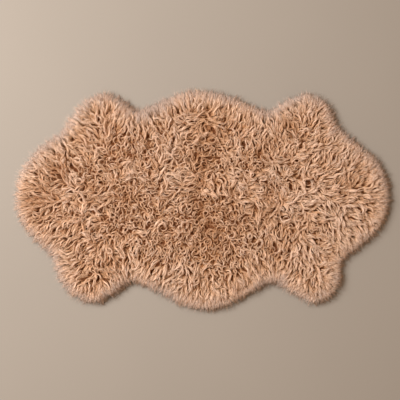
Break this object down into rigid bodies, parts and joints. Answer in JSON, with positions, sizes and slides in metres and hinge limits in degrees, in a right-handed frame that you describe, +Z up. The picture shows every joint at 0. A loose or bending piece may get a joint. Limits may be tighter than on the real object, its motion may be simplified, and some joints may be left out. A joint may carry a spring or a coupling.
{
  "type": "faux fur rug",
  "caption": "Scalloped faux fur rug with a deep curly pile, lying flat, made of panels sewn end to end across the middle.",
  "frame": {"origin": "on the floor under the middle of the rug's box", "axes": "+X along the rug's length, across the seam; +Y along the seam; +Z up, through the pile"},
  "size_m": [1.52, 0.892, 0.046],
  "materials": {
    "pile_fabric": "matte",
    "ground_cloth": "matte"
  },
  "bodies": {
    "root": {"fur_panel_left": "pile_fabric", "fur_panel_right": "pile_fabric"}
  },
  "joints": []
}
